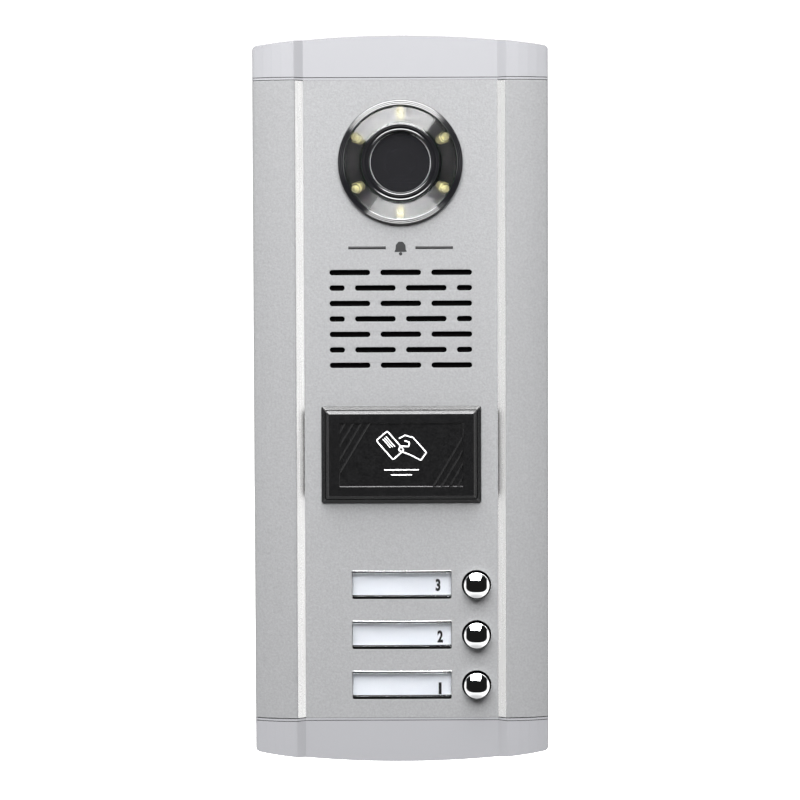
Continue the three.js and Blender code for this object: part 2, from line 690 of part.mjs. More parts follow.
// Case
place('front_panel', frontPanel(), anodised);
place('top_cap', endCap(), silverPaint);
place('bottom_cap', bottomCap(), silverPaint);
place('rear_cover', rearCover(), blackPlastic);
place('wall_bracket', wallBracket(), steel);
place('security_screw', securityScrew(), steel);
const coverScrewGeometry = geometryOf(coverScrew(12).translate([0, COVER_BACK_Y + 0.1, 0]));
[[-1, -1], [1, -1], [-1, 1], [1, 1]].forEach(([x, z], i) => {
  place(`rear_cover_screw_${i + 1}`, coverScrewGeometry, steel, x * COVER_SCREW_X, z * COVER_SCREW_Z);
});

// Camera unit
place('camera_bezel', cameraBezel(), glossBlack, 0, CAMERA_Z);
place('camera_seal', ring(26.9, 27.3, -38.3, -38.05), foam, 0, CAMERA_Z);
place('led_diffuser', ledDiffuser(), clearPlastic, 0, CAMERA_Z);
place('led_reflector', ledReflector(), reflectorSilver, 0, CAMERA_Z);
const ledGeometry = geometryOf(led());
ledPlaces().forEach(([x, z], i) => place(`led_${i + 1}`, ledGeometry, ledLens, x, CAMERA_Z + z));
place('led_board', ring(16.8, 26.6, -32.1, -30.5, 32), boardGreen, 0, CAMERA_Z);
place('lens_shroud', lensShroud(), blackPlastic, 0, CAMERA_Z);
place('lens_window', disc(13.4, -37.2, -36.2), smokedGlass, 0, CAMERA_Z);
place('lens_barrel', lensBarrel(), blackPlastic, 0, CAMERA_Z);
place('lens_holder', lensHolder(), blackPlastic, 0, CAMERA_Z);
place('camera_board', box(-17, 17, -18, -16.4, -17, 17), boardGreen, 0, CAMERA_Z);
place('camera_pod', cameraPod(), blackPlastic, 0, CAMERA_Z);

// Speaker and microphone
place('speaker_mesh', box(-33, 33, -36, -35.7, -23.5, 23.5), cloth, 0, GRILLE_Z);
place('speaker_gasket', ring(24, SPEAKER_R, -35.5, -33.5), foam, 0, GRILLE_Z);
place('speaker_basket', speakerBasket(), steel, 0, GRILLE_Z);
place('speaker_cone', speakerCone(), conePaper, 0, GRILLE_Z);
place('speaker_magnet', disc(16, -21.6, -15.5, 32), steel, 0, GRILLE_Z);
const boot = cut(
  post(6.2, MICROPHONE.x, MICROPHONE.y, MICROPHONE.floor + 0.1, -145),
  post(4.9, MICROPHONE.x, MICROPHONE.y, MICROPHONE.floor + 1.6, -140),
  post(1, MICROPHONE.x, MICROPHONE.y, MICROPHONE.floor - 1, -140, 12),
);
place('microphone_boot', boot, foam);
place('microphone_capsule', post(4.7, MICROPHONE.x, MICROPHONE.y, MICROPHONE.floor + 1.8, -146), steel);

// Card reader
place('reader_frame', readerFrame(), blackPlastic);
place('reader_cover', readerCover(), blackPlastic);
place('reader_board', box(-30, 30, -35, -33.8, READER_Z - 16.5, READER_Z + 16.5), boardGreen);
place('antenna_coil', antennaCoil(), copper);

// Call rows, from the lowest to the highest
const windowGeometry = geometryOf(plateWindow());
const buttonGeometry = geometryOf(callButton());
const springGeometry = geometryOf(buttonSpring());
const switchGeometry = geometryOf(tactSwitch());
const cardGeometry = geometryOf(box(-21.9, 21.9, -34.8, -34.4, -5.1, 5.1));
ROW_LEVELS.forEach((z, i) => {
  const row = i + 1;
  place(`nameplate_window_${row}`, windowGeometry, clearPlastic, 0, z);
  place(`nameplate_card_${row}`, cardGeometry, cardPaper, 0, z + PLATE_WINDOW.lift);
  place(`call_button_${row}`, buttonGeometry, chrome, BUTTON_X, z);
  place(`button_spring_${row}`, springGeometry, steel, BUTTON_X, z);
  place(`tact_switch_${row}`, switchGeometry, blackPlastic, BUTTON_X, z);
});
place('button_carrier', buttonCarrier(), blackPlastic);
place('button_board', box(-40, 42, BOARD_Y[0] + 0.1, BOARD_Y[1], -137, -71), boardGreen);

// Main electronics
place('main_board', box(-42, 42, ...MAIN_BOARD_Y, -62, 66), boardGreen);
place('terminal_block', terminalBlock(), boardGreen);
place('volume_trimmer', box(-3.3, 3.3, MAIN_BOARD_Y[1] + 0.1, -9, -3.3, 3.3), relayBlue, 0, TRIMMER_Z);
place('trimmer_rotor', trimmerRotor(), copper, 0, TRIMMER_Z);
place('door_relay', box(-34, -18, -29, MAIN_BOARD_Y[0] - 0.1, -34, -14), relayBlue);

export default intercom;
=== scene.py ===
import math

import bpy
import bmesh
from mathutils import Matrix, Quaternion, Vector


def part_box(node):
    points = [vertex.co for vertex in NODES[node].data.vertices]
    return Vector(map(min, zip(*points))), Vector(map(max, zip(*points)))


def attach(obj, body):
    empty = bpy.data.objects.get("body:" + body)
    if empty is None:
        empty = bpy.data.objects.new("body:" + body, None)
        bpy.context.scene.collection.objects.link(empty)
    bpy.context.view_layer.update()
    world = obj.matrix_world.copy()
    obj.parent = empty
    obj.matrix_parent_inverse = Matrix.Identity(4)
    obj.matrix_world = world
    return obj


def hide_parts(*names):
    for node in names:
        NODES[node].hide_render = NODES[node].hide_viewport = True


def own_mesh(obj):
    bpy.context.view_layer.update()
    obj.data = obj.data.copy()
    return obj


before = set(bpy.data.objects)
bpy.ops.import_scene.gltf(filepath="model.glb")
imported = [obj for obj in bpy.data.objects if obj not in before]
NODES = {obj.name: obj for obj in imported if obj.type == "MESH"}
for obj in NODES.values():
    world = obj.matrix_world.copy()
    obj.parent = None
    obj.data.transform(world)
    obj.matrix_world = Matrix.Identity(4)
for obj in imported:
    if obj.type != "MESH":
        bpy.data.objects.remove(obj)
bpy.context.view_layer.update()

MM = 0.001


def box_mm(node):
    """The corners of a CAD node's box, in millimetres."""
    low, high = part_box(node)
    return low / MM, high / MM


def centre_mm(node):
    low, high = box_mm(node)
    return (low + high) / 2


# ---------------------------------------------------------------- sizes

PANEL_HIGH = box_mm("front_panel")[1]
HALF = PANEL_HIGH.x
PROFILE_HALF = PANEL_HIGH.z
BACK_Y = PANEL_HIGH.y
FACE_Y = -38
CREST_Y = -41
SHOULDER_Y = -36.45
SHOULDER_ROUND = 1.6
WING_CROWN = (56.5, -40.4)
SHEET = 1.8
CENTRE_HALF = 42.6
CREST_X = 46.6
CAP_JOINT = 0.3
CAP_GROOVE_START, CAP_GROOVE_WIDTH = 0.9, 0.3

CAMERA = centre_mm("camera_bezel")
READER = centre_mm("reader_cover")
READER_FRONT = box_mm("reader_cover")[0].y
READER_FIELD = (54.5, 28.0)
FIELD_Y = READER_FRONT + 0.4
ROWS = [1, 2, 3]

GRILLE_Z = centre_mm("speaker_mesh").z
GRILLE_ROWS = 7
GRILLE_ROW_PITCH = 6.8
GRILLE_SLOT_PITCH = 22.4
SLOT_LENGTH, SLOT_WIDTH = 17.9, 2.4
GRILLE_HALF = 31.35

PLATE_OPENING = (43.9, 12.6)
READER_OPENING = (66.4, 38.8)
CAMERA_HOLE_R = 26.7
BUTTON_HOLE_R = 6.5
BUTTON_R = 5.75

# How wide each number is drawn, its X, and its drop below its card's middle.
NUMERAL_FIT = {1: (1.05, 16.8, 1.9), 2: (0.72, 16.9, 1.1), 3: (0.72, 16.0, 0.5)}


# ---------------------------------------------------------------- material nodes


class Surface:
    """A Principled material and the few node chains that this object's finishes are made of."""

    def __init__(self, name, color, roughness, metallic=0.0, **sockets):
        self.material = bpy.data.materials.new(name)
        self.material.use_nodes = True
        self.tree = self.material.node_tree
        self.shader = self.tree.nodes["Principled BSDF"]
        self.color = (*color, 1.0)
        self.roughness = roughness
        self.shader.inputs["Base Color"].default_value = self.color
        self.shader.inputs["Roughness"].default_value = roughness
        self.shader.inputs["Metallic"].default_value = metallic
        for socket, value in sockets.items():
            self.shader.inputs[socket.replace("_", " ")].default_value = value
        self.height = None

    def node(self, kind, **values):
        made = self.tree.nodes.new(kind)
        for key, value in values.items():
            if hasattr(made, key):
                setattr(made, key, value)
            else:
                made.inputs[key.replace("_", " ")].default_value = value
        return made

    def link(self, start, end):
        self.tree.links.new(start, end)

    def place(self, stretch=(1, 1, 1)):
        """Object coordinates in millimetres, stretched along the axes."""
        coordinates = self.node("ShaderNodeTexCoord")
        mapping = self.node("ShaderNodeMapping")
        mapping.inputs["Scale"].default_value = [s / MM for s in stretch]
        self.link(coordinates.outputs["Object"], mapping.inputs["Vector"])
        return mapping.outputs["Vector"]

    def noise(self, size, detail=2.0, stretch=(1, 1, 1)):
        """Noise whose grains are about size millimetres across."""
        made = self.node("ShaderNodeTexNoise", Scale=1 / size, Detail=detail)
        self.link(self.place(stretch), made.inputs["Vector"])
        return made.outputs["Fac"]

    def ranged(self, value, low, high, start=0.3, end=0.7):
        made = self.node("ShaderNodeMapRange")
        made.inputs["From Min"].default_value = start
        made.inputs["From Max"].default_value = end
        made.inputs["To Min"].default_value = low
        made.inputs["To Max"].default_value = high
        self.link(value, made.inputs["Value"])
        return made.outputs["Result"]

    def vary_roughness(self, value, spread):
        low, high = max(self.roughness - spread, 0.0), self.roughness + spread
        self.link(self.ranged(value, low, high), self.shader.inputs["Roughness"])
        return self

    def vary_color(self, value, darker, start=0.3, end=0.7):
        """The colour runs between itself and a darker tone of it."""
        mix = self.node("ShaderNodeMix", data_type="RGBA")
        mix.inputs["A"].default_value = (*[c * darker for c in self.color[:3]], 1.0)
        mix.inputs["B"].default_value = self.color
        self.link(self.ranged(value, 0.0, 1.0, start, end), mix.inputs["Factor"])
        self.link(mix.outputs["Result"], self.shader.inputs["Base Color"])
        return self

    def bump(self, value, depth, strength=1.0):
        """Relief of a depth in millimetres; a second call adds to the first."""
        made = self.node("ShaderNodeBump", Strength=strength, Distance=depth * MM)
        self.link(value, made.inputs["Height"])
        if self.height:
            self.link(self.height, made.inputs["Normal"])
        self.height = made.outputs["Normal"]
        self.link(self.height, self.shader.inputs["Normal"])
        return self


def anodised_aluminium(name, level, metallic):
    """Sand-blasted silver anodising: fine sparkling grain over faint mottling."""
    color = (level, level * 1.01, level * 1.03)
    s = Surface(name, color, 0.52, metallic, Specular_IOR_Level=0.3)
    s.vary_color(s.noise(0.9, 3.0), 0.84)
    s.vary_roughness(s.noise(0.35, 2.0), 0.08)
    s.bump(s.noise(0.30, 2.0), 0.05)
    return s.bump(s.noise(1.1, 2.0), 0.06).material


def bright_cut():
    """The diamond-cut chamfers, with the cutter's faint lines along them. The same bright metal paints
    a highlight on the name plates' upper bars.
    """
    s = Surface("bright_aluminium_and_painted_highlight", (0.93, 0.93, 0.925), 0.28, 1.0)
    s.vary_roughness(s.noise(0.5, 2.0, (1, 1, 0.02)), 0.05)
    return s.bump(s.noise(0.3, 2.0, (1, 1, 0.01)), 0.004).material


def silver_paint():
    s = Surface("silver_painted_plastic", (0.212, 0.213, 0.224), 0.50, 0.12)
    s.shader.inputs["Coat Weight"].default_value = 0.1
    s.shader.inputs["Coat Roughness"].default_value = 0.25
    s.vary_color(s.noise(0.12, 1.0), 0.95)
    return s.bump(s.noise(0.5, 2.0), 0.006).material


def satin_black(name="satin_black_plastic", level=0.012, roughness=0.36, specular=0.5):
    s = Surface(name, (level, level, level * 1.05), roughness, Specular_IOR_Level=specular)
    s.vary_color(s.noise(0.7, 3.0), 0.4)
    s.vary_roughness(s.noise(2.5, 3.0), 0.05)
    return s.bump(s.noise(0.5, 3.0), 0.08).material


def gloss_black():
    s = Surface("gloss_black_plastic", (0.006, 0.006, 0.007), 0.06, Specular_IOR_Level=0.85)
    s.vary_roughness(s.noise(4.0, 3.0), 0.02)
    return s.bump(s.noise(6.0, 2.0), 0.01).material


def chrome():
    s = Surface("chrome_plate", (0.88, 0.885, 0.89), 0.035, 1.0)
    s.vary_roughness(s.noise(1.5, 3.0), 0.015)
    return s.bump(s.noise(3.0, 2.0), 0.003).material


def zinc_steel():
    s = Surface("zinc_plated_steel", (0.56, 0.57, 0.58), 0.38, 1.0)
    s.vary_color(s.noise(6.0, 4.0), 0.82)
    s.vary_roughness(s.noise(2.0, 3.0), 0.08)
    return s.bump(s.noise(0.4, 2.0, (1, 1, 0.1)), 0.01).material


def clear_plastic():
    color = (0.985, 0.99, 0.995)
    s = Surface("clear_plastic", color, 0.06, Transmission_Weight=1.0, IOR=1.45)
    return s.bump(s.noise(5.0, 2.0), 0.01).material


def grooved_clear():
    color = (0.97, 0.97, 0.975)
    s = Surface("grooved_clear_plastic", color, 0.08, Transmission_Weight=1.0, IOR=1.58)
    return s.bump(s.noise(0.3, 2.0), 0.01).material


def metallised():
    s = Surface("metallised_reflector", (0.08, 0.08, 0.083), 0.30, 1.0)
    s.vary_color(s.noise(0.8, 3.0), 0.9)
    return s.bump(s.noise(0.6, 2.0), 0.03).material


def smoked_glass():
    color = (0.09, 0.09, 0.10)
    s = Surface("smoked_window", color, 0.03, Transmission_Weight=0.9, IOR=1.45)
    s.shader.inputs["Coat Weight"].default_value = 0.3
    return s.bump(s.noise(8.0, 2.0), 0.004).material


def ground_edge():
    """The window's ground glass edge."""
    s = Surface("ground_glass_edge", (0.55, 0.56, 0.57), 0.35)
    s.vary_color(s.noise(0.4, 2.0), 0.8)
    return s.bump(s.noise(0.2, 2.0), 0.01).material


def led_resin():
    s = Surface("led_phosphor", (0.86, 0.80, 0.36), 0.3)
    s.vary_color(s.noise(0.7, 2.0), 0.85)
    s.shader.inputs["Emission Color"].default_value = (1.0, 0.95, 0.62, 1.0)
    s.shader.inputs["Emission Strength"].default_value = 0.35
    return s.material


def card_paper():
    s = Surface("name_card_paper", (0.80, 0.82, 0.87), 0.75)
    s.vary_color(s.noise(0.5, 3.0), 0.97)
    return s.bump(s.noise(0.15, 2.0), 0.01).material


def printed_ink(name, color):
    s = Surface(name, color, 0.55)
    s.vary_color(s.noise(0.2, 2.0), 0.85)
    return s.bump(s.noise(0.1, 1.0), 0.004).material


def woven_cloth():
    s = Surface("acoustic_cloth", (0.002, 0.002, 0.002), 1.0, Specular_IOR_Level=0.1)
    weave = s.node("ShaderNodeTexChecker", Scale=2.5)
    s.link(s.place(), weave.inputs["Vector"])
    return s.bump(weave.outputs["Fac"], 0.15).material


def foam_rubber():
    s = Surface("foam_rubber", (0.03, 0.03, 0.03), 0.9)
    return s.bump(s.noise(0.4, 3.0), 0.15).material


def solder_mask():
    s = Surface("circuit_board", (0.012, 0.10, 0.035), 0.35)
    s.shader.inputs["Coat Weight"].default_value = 0.4
    tracks = s.node("ShaderNodeTexBrick", Scale=0.35)
    s.link(s.place(), tracks.inputs["Vector"])
    s.vary_color(s.noise(3.0, 3.0), 0.7)
    return s.bump(tracks.outputs["Fac"], 0.04).material


def copper():
    s = Surface("copper_wire", (0.72, 0.36, 0.18), 0.3, 1.0)
    s.vary_color(s.noise(1.0, 2.0), 0.8)
    return s.bump(s.noise(0.3, 2.0), 0.02).material


def cone_paper():
    s = Surface("cone_paper", (0.025, 0.024, 0.022), 0.85)
    return s.bump(s.noise(0.4, 4.0), 0.08).material


def moulded(name, color):
    s = Surface(name, color, 0.42)
    s.vary_color(s.noise(2.0, 2.0), 0.92)
    return s.bump(s.noise(0.3, 2.0), 0.02).material


FINISH = {
    "anodised": anodised_aluminium("anodised_aluminium", 0.207, 0.16),
    # The wings take a darker copy of the face's anodising: painted shade for flanges that slope away
    # from the light.
    "wing": anodised_aluminium("anodised_wings_painted_shade", 0.190, 0.10),
    "bright": bright_cut(),
    "paint": silver_paint(),
    "black": satin_black(),
    "reader": satin_black("reader_black_plastic", 0.007, 0.20),
    "cavity": satin_black("deep_black_plastic", 0.003, 0.7, 0.08),
    "gloss": gloss_black(),
    "chrome": chrome(),
    "steel": zinc_steel(),
    "clear": clear_plastic(),
    "grooved": grooved_clear(),
    "reflector": metallised(),
    "smoked": smoked_glass(),
    "ground": ground_edge(),
    "led": led_resin(),
    "card": card_paper(),
    "black_ink": printed_ink("black_ink", (0.004, 0.004, 0.005)),
    "white_ink": printed_ink("white_ink", (0.85, 0.85, 0.85)),
    "cloth": woven_cloth(),
    "foam": foam_rubber(),
    "board": solder_mask(),
    "copper": copper(),
    "cone": cone_paper(),
    "blue": moulded("blue_moulding", (0.03, 0.10, 0.36)),
    "green": moulded("terminal_green", (0.02, 0.22, 0.09)),
}


# ---------------------------------------------------------------- mesh making


def shade_flat(made):
    """Large faces shade flat, and the small roundings between them carry the curve."""
    weighted = made.modifiers.new("flat faces", "WEIGHTED_NORMAL")
    weighted.weight = 100
    weighted.keep_sharp = True


def finish_mesh(name, bm, finish, body, smooth_angle=32, flat_faces=False):
    """A bmesh in millimetres becomes a piece of the object. A list of finishes fills its material
    slots in order."""
    bmesh.ops.remove_doubles(bm, verts=bm.verts, dist=1e-4)
    bmesh.ops.recalc_face_normals(bm, faces=bm.faces)
    bmesh.ops.scale(bm, vec=(MM, MM, MM), verts=bm.verts)
    mesh = bpy.data.meshes.new(name)
    bm.to_mesh(mesh)
    bm.free()
    finishes = finish if isinstance(finish, list) else [finish]
    for one in finishes:
        mesh.materials.append(FINISH[one])
    made = bpy.data.objects.new(name, mesh)
    bpy.context.scene.collection.objects.link(made)
    mesh.shade_smooth()
    mesh.set_sharp_from_angle(angle=math.radians(smooth_angle))
    if flat_faces:
        shade_flat(made)
    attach(made, body)
    return made


def bridge(bm, loops, closed_loops=True):
    """Faces between each loop of vertices and the next one."""
    for a, b in zip(loops, loops[1:]):
        count = len(a)
        for i in range(count if closed_loops else count - 1):
            j = (i + 1) % count
            corners = []
            for v in (a[i], a[j], b[j], b[i]):
                if v not in corners:
                    corners.append(v)
            if len(corners) > 2:
                bm.faces.new(corners)


def circle_points(x, z, radius, count=96):
    turns = (2 * math.pi * i / count for i in range(count))
    return [(x + radius * math.cos(t), z + radius * math.sin(t)) for t in turns]


def lathe(name, profile, x, z, finish, body, segments=128, smooth_angle=32):
    """[radius, y] pairs turned round the axis through (x, z) along Y. A profile that starts and ends
    on the axis is solid; any other closes on itself."""
    bm = bmesh.new()
    on_axis = profile[0][0] < 1e-6
    rings = []
    for r, y in profile:
        if r < 1e-6:
            rings.append([bm.verts.new((x, y, z))] * segments)
        else:
            circle = circle_points(x, z, r, segments)
            rings.append([bm.verts.new((a, y, b)) for a, b in circle])
    bridge(bm, rings if on_axis else [*rings, rings[0]])
    return finish_mesh(name, bm, finish, body, smooth_angle)


def rounded_corner(points, i, radius, steps=4):
    """The arc that rounds corner i of a closed outline."""
    before, corner, after = (Vector(points[j % len(points)]) for j in (i - 1, i, i + 1))
    a, b = (before - corner).normalized(), (after - corner).normalized()
    half = a.angle(b) / 2
    reach = radius / math.tan(half)
    start, end = corner + a * reach, corner + b * reach
    arc = []
    for k in range(steps + 1):
        t = k / steps
        arc.append(start * (1 - t) ** 2 + corner * 2 * t * (1 - t) + end * t**2)
    return [(p.x, p.y) for p in arc]


def rect_loop(width, height, radius, y, z, x=0.0, steps=6):
    """A rounded rectangle's points at depth y, centred on (x, z)."""
    points = []
    for quarter, (sx, sz) in enumerate([(1, 1), (-1, 1), (-1, -1), (1, -1)]):
        cx, cz = x + sx * (width / 2 - radius), z + sz * (height / 2 - radius)
        for k in range(steps + 1):
            t = (quarter + k / steps) * math.pi / 2
            points.append((cx + radius * math.cos(t), y, cz + radius * math.sin(t)))
    return points


def lofted(name, outlines, finish, body, closed=False):
    """A solid through point loops of equal length, from the first to the last. A closed loft joins
    its last loop to its first and has no end faces."""
    bm = bmesh.new()
    loops = [[bm.verts.new(p) for p in outline] for outline in outlines]
    bridge(bm, [*loops, loops[0]] if closed else loops)
    if not closed:
        bm.faces.new(loops[0])
        bm.faces.new(loops[-1])
    return finish_mesh(name, bm, finish, body, flat_faces=True)


def mesh_of_curve(curve):
    """A curve or a text as a bmesh. The curve itself is removed."""
    holder = bpy.data.objects.new(curve.name + "_curve", curve)
    bpy.context.scene.collection.objects.link(holder)
    bpy.context.view_layer.update()
    evaluated = holder.evaluated_get(bpy.context.evaluated_depsgraph_get())
    bm = bmesh.new()
    bm.from_mesh(evaluated.to_mesh())
    evaluated.to_mesh_clear()
    bpy.data.objects.remove(holder)
    bpy.data.curves.remove(curve)
    return bm


def dress(node, finish):
    """A CAD node keeps its shape and gets its finish."""
    materials = NODES[node].data.materials
    materials.clear()
    materials.append(FINISH[finish])


def soften(node, finish, width=0.2):
    """A CAD node keeps its shape, and gets its finish and small rounded edges."""
    made = NODES[node]
    dress(node, finish)
    weld = made.modifiers.new("weld", "WELD")
    weld.merge_threshold = 0.002 * MM
    bevel = made.modifiers.new("rounding", "BEVEL")
    bevel.width = width * MM
    bevel.segments = 2
    bevel.limit_method = "ANGLE"
    bevel.angle_limit = math.radians(38)
    bevel.harden_normals = True
    bevel.use_clamp_overlap = True
    return made


# ---------------------------------------------------------------- the profile's section


def quadratic(a, b, c, steps):
    """Points of a quadratic curve, without its first one."""
    points = []
    for k in range(1, steps + 1):
        t = k / steps
        points.append(tuple(
            a[i] * (1 - t) ** 2 + 2 * b[i] * t * (1 - t) + c[i] * t**2 for i in range(2)
        ))
    return points


def wing_outside(steps=8):
    """The right wing's outside, from its rear edge round the shoulder and the crest to the face."""
    fall = (SHOULDER_Y - WING_CROWN[1]) / (HALF - WING_CROWN[0])
    shoulder_end = (HALF - SHOULDER_ROUND, SHOULDER_Y - SHOULDER_ROUND * fall)
    crest_start = (CREST_X + 0.8, CREST_Y + 0.15)
    crest_end = (CREST_X - 0.7, CREST_Y + 0.5)
    points = [(HALF, BACK_Y), (HALF, SHOULDER_Y + SHOULDER_ROUND)]
    points += quadratic(points[-1], (HALF, SHOULDER_Y), shoulder_end, steps)
    points += quadratic(shoulder_end, WING_CROWN, crest_start, steps)
    points += quadratic(crest_start, (CREST_X, CREST_Y - 0.1), crest_end, steps)
    return points + [(CENTRE_HALF, FACE_Y)]


def wing_section():
    """The right wing as a closed outline, with the lip at its rear edge that holds the cover."""
    lip_reach, lip_front, lip_back = 3.0, -3.2, -1.7
    inner_x = HALF - SHEET
    return wing_outside() + [
        (CENTRE_HALF, FACE_Y + SHEET),
        (CREST_X - 0.3, CREST_Y + SHEET + 0.9),
        (WING_CROWN[0] - 0.8, WING_CROWN[1] + SHEET + 0.6),
        (inner_x, SHOULDER_Y + 1.3),
        (inner_x, lip_front),
        (inner_x - lip_reach, lip_front),
        (inner_x - lip_reach, lip_back),
        (inner_x, lip_back),
        (inner_x, BACK_Y),
    ]


def inset(points, distance):
    """A closed outline moved inwards by a small distance."""
    area = sum(a[0] * b[1] - b[0] * a[1] for a, b in zip(points, [*points[1:], points[0]]))
    turn = 1 if area > 0 else -1
    moved = []
    count = len(points)
    for i, p in enumerate(points):
        before = Vector(p) - Vector(points[i - 1])
        after = Vector(points[(i + 1) % count]) - Vector(p)
        normals = [Vector((-d.y, d.x)).normalized() * turn for d in (before, after)]
        mitre = (normals[0] + normals[1]).normalized()
        reach = distance / max(mitre.dot(normals[0]), 0.4)
        moved.append((p[0] + mitre.x * reach, p[1] + mitre.y * reach))
    return moved


def make_wing(name, side):
    """One side wing of the extrusion, in the darker anodised copy that paints shade on it. Its chamfer
    towards the face is bright-cut.
    """
    section = wing_section()
    edge = 0.14
    small = inset(section, edge)
    levels = [
        (small, -PROFILE_HALF),
        (section, edge - PROFILE_HALF),
        (section, PROFILE_HALF - edge),
        (small, PROFILE_HALF),
    ]
    bm = bmesh.new()
    loops = [[bm.verts.new((side * x, y, z)) for x, y in outline] for outline, z in levels]
    bridge(bm, loops)
    bm.faces.new(loops[0])
    bm.faces.new(loops[-1])
    strip_outer, strip_inner = CREST_X - 0.8, CENTRE_HALF
    for face in bm.faces:
        middle = face.calc_center_median()
        on_strip = strip_inner < abs(middle.x) < strip_outer and middle.y < FACE_Y + 0.2
        if on_strip and abs(middle.z) < 1:
            face.material_index = 1
    finishes = ["wing", "bright"]
    finish_mesh(name, bm, finishes, "panel", smooth_angle=28, flat_faces=True)


# ---------------------------------------------------------------- flat plates from outlines


def add_outline(curve, points):
    spline = curve.splines.new("POLY")
    spline.points.add(len(points) - 1)
    for point, (x, z) in zip(spline.points, points):
        point.co = (x, z, 0, 1)
    spline.use_cyclic_u = True


def rect_points(width, height, radius, x, z, steps=8):
    return [(p[0], p[2]) for p in rect_loop(width, height, radius, 0, z, x, steps)]


def flat_piece(name, outlines, y_front, y_back, edge, finish, body):
    """A plate in the XZ plane with holes, from a filled curve: its first outline is the outside.
    Every edge is rounded by edge millimetres."""
    curve = bpy.data.curves.new(name, "CURVE")
    curve.dimensions = "2D"
    curve.fill_mode = "BOTH"
    curve.extrude = (y_back - y_front) / 2 - edge
    curve.bevel_depth = edge
    curve.bevel_resolution = 2
    curve.offset = -edge
    for points in outlines:
        add_outline(curve, points)
    bm = mesh_of_curve(curve)
    middle = (y_front + y_back) / 2
    for v in bm.verts:
        x, z, depth = v.co
        v.co = (x, middle - depth, z)
    return finish_mesh(name, bm, finish, body, smooth_angle=50, flat_faces=True)


def grille_slots():
    """(x, z, length) of every speaker slot, in staggered rows that the grille's sides cut off."""
    slots = []
    for row in range(GRILLE_ROWS):
        z = GRILLE_Z + (row - (GRILLE_ROWS - 1) / 2) * GRILLE_ROW_PITCH
        offset = GRILLE_SLOT_PITCH / 2 if row % 2 else 0
        for column in range(-2, 3):
            middle = column * GRILLE_SLOT_PITCH + offset
            left = max(middle - SLOT_LENGTH / 2, -GRILLE_HALF)
            right = min(middle + SLOT_LENGTH / 2, GRILLE_HALF)
            if right - left > 2 * SLOT_WIDTH:
                slots.append(((left + right) / 2, z, right - left))
    return slots


def make_face():
    """The extrusion's flat centre face with all its holes."""
    end = PROFILE_HALF + 0.2
    corners = [(-1, -1), (1, -1), (1, 1), (-1, 1)]
    outlines = [[(a * CENTRE_HALF, b * end) for a, b in corners]]
    outlines.append(circle_points(CAMERA.x, CAMERA.z, CAMERA_HOLE_R, 128))
    for x, z, length in grille_slots():
        outlines.append(rect_points(length, SLOT_WIDTH, SLOT_WIDTH / 2 - 0.01, x, z))
    outlines.append(rect_points(*READER_OPENING, 1.2, READER.x, READER.z))
    for row in ROWS:
        button = centre_mm(f"call_button_{row}")
        outlines.append(rect_points(*PLATE_OPENING, 1.0, 0, button.z))
        outlines.append(circle_points(button.x, button.z, BUTTON_HOLE_R))
    return flat_piece("centre_face", outlines, FACE_Y, FACE_Y + SHEET, 0.12, "anodised", "panel")


face = make_face()
make_wing("right_wing", 1)
make_wing("left_wing", -1)
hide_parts("front_panel")

# ---------------------------------------------------------------- case


def make_band(name, z_low, z_high, start, end):
    """A thin black band round the front and sides, from one depth under the surface to another. It is
    painted shade, laid into the joints and grooves between caps and extrusion.
    """
    chain = wing_outside()
    chain += [(-x, y) for x, y in reversed(chain)]
    near, far = inset(chain, start), inset(chain, end)
    bm = bmesh.new()
    levels = [(near, z_low), (near, z_high), (far, z_high), (far, z_low)]
    loops = [[bm.verts.new((x, y, z)) for x, y in points] for points, z in levels]
    bridge(bm, [*loops, loops[0]], closed_loops=False)
    for end_index in (0, -1):
        bm.faces.new([loop[end_index] for loop in loops])
    finish_mesh(name, bm, "cavity", "panel")


for end_name, end in (("top", 1), ("bottom", -1)):
    joint = end * (PROFILE_HALF + CAP_JOINT / 2)
    groove = end * (PROFILE_HALF + CAP_JOINT + CAP_GROOVE_START + CAP_GROOVE_WIDTH / 2)
    half_joint, half_groove = CAP_JOINT / 2 - 0.02, CAP_GROOVE_WIDTH / 2 - 0.01
    # Black bands in the joint and in the groove: painted shade, not seals.
    make_band(f"{end_name}_joint_painted_shade", joint - half_joint, joint + half_joint, 0.12, 0.7)
    make_band(f"{end_name}_groove_painted_shade", groove - half_groove, groove + half_groove, 0.1, 0.34)
    shade_flat(soften(f"{end_name}_cap", "paint"))
soften("rear_cover", "black", 0.25)
soften("wall_bracket", "steel", 0.25)
soften("security_screw", "steel", 0.12)
for number in range(1, 5):
    soften(f"rear_cover_screw_{number}", "steel", 0.12)

# ---------------------------------------------------------------- camera


def make_bezel():
    """The glossy bezel, its front in fine ridges. It is lower than the CAD ring, so that it doesn't
    shade the diffuser."""
    low, high = box_mm("camera_bezel")
    outer, back = (high.x - low.x) / 2, high.y
    front = low.y + 0.9
    inner, ridges, depth = 24.8, 3, 0.2
    land_start, land_end = inner + 0.2, outer - 0.3
    ridge = (land_end - land_start) / ridges
    crown = [(inner, front + 0.35)]
    for number in range(ridges):
        start = land_start + ridge * number
        crown.append((start, front + depth))
        crown.append((start + ridge * 0.38, front))
        crown.append((start + ridge * 0.42, front))
    crown += [(land_end, front + depth), (outer - 0.1, front + 0.4), (outer, front + 0.7)]
    sleeve, seat = 26.4, FACE_Y - 0.3
    profile = [(inner, back), *crown, (outer, seat), (sleeve, seat), (sleeve, back)]
    made = lathe("bezel_ring", profile, CAMERA.x, CAMERA.z, "gloss", "panel",
                 segments=160)
    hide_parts("camera_bezel")


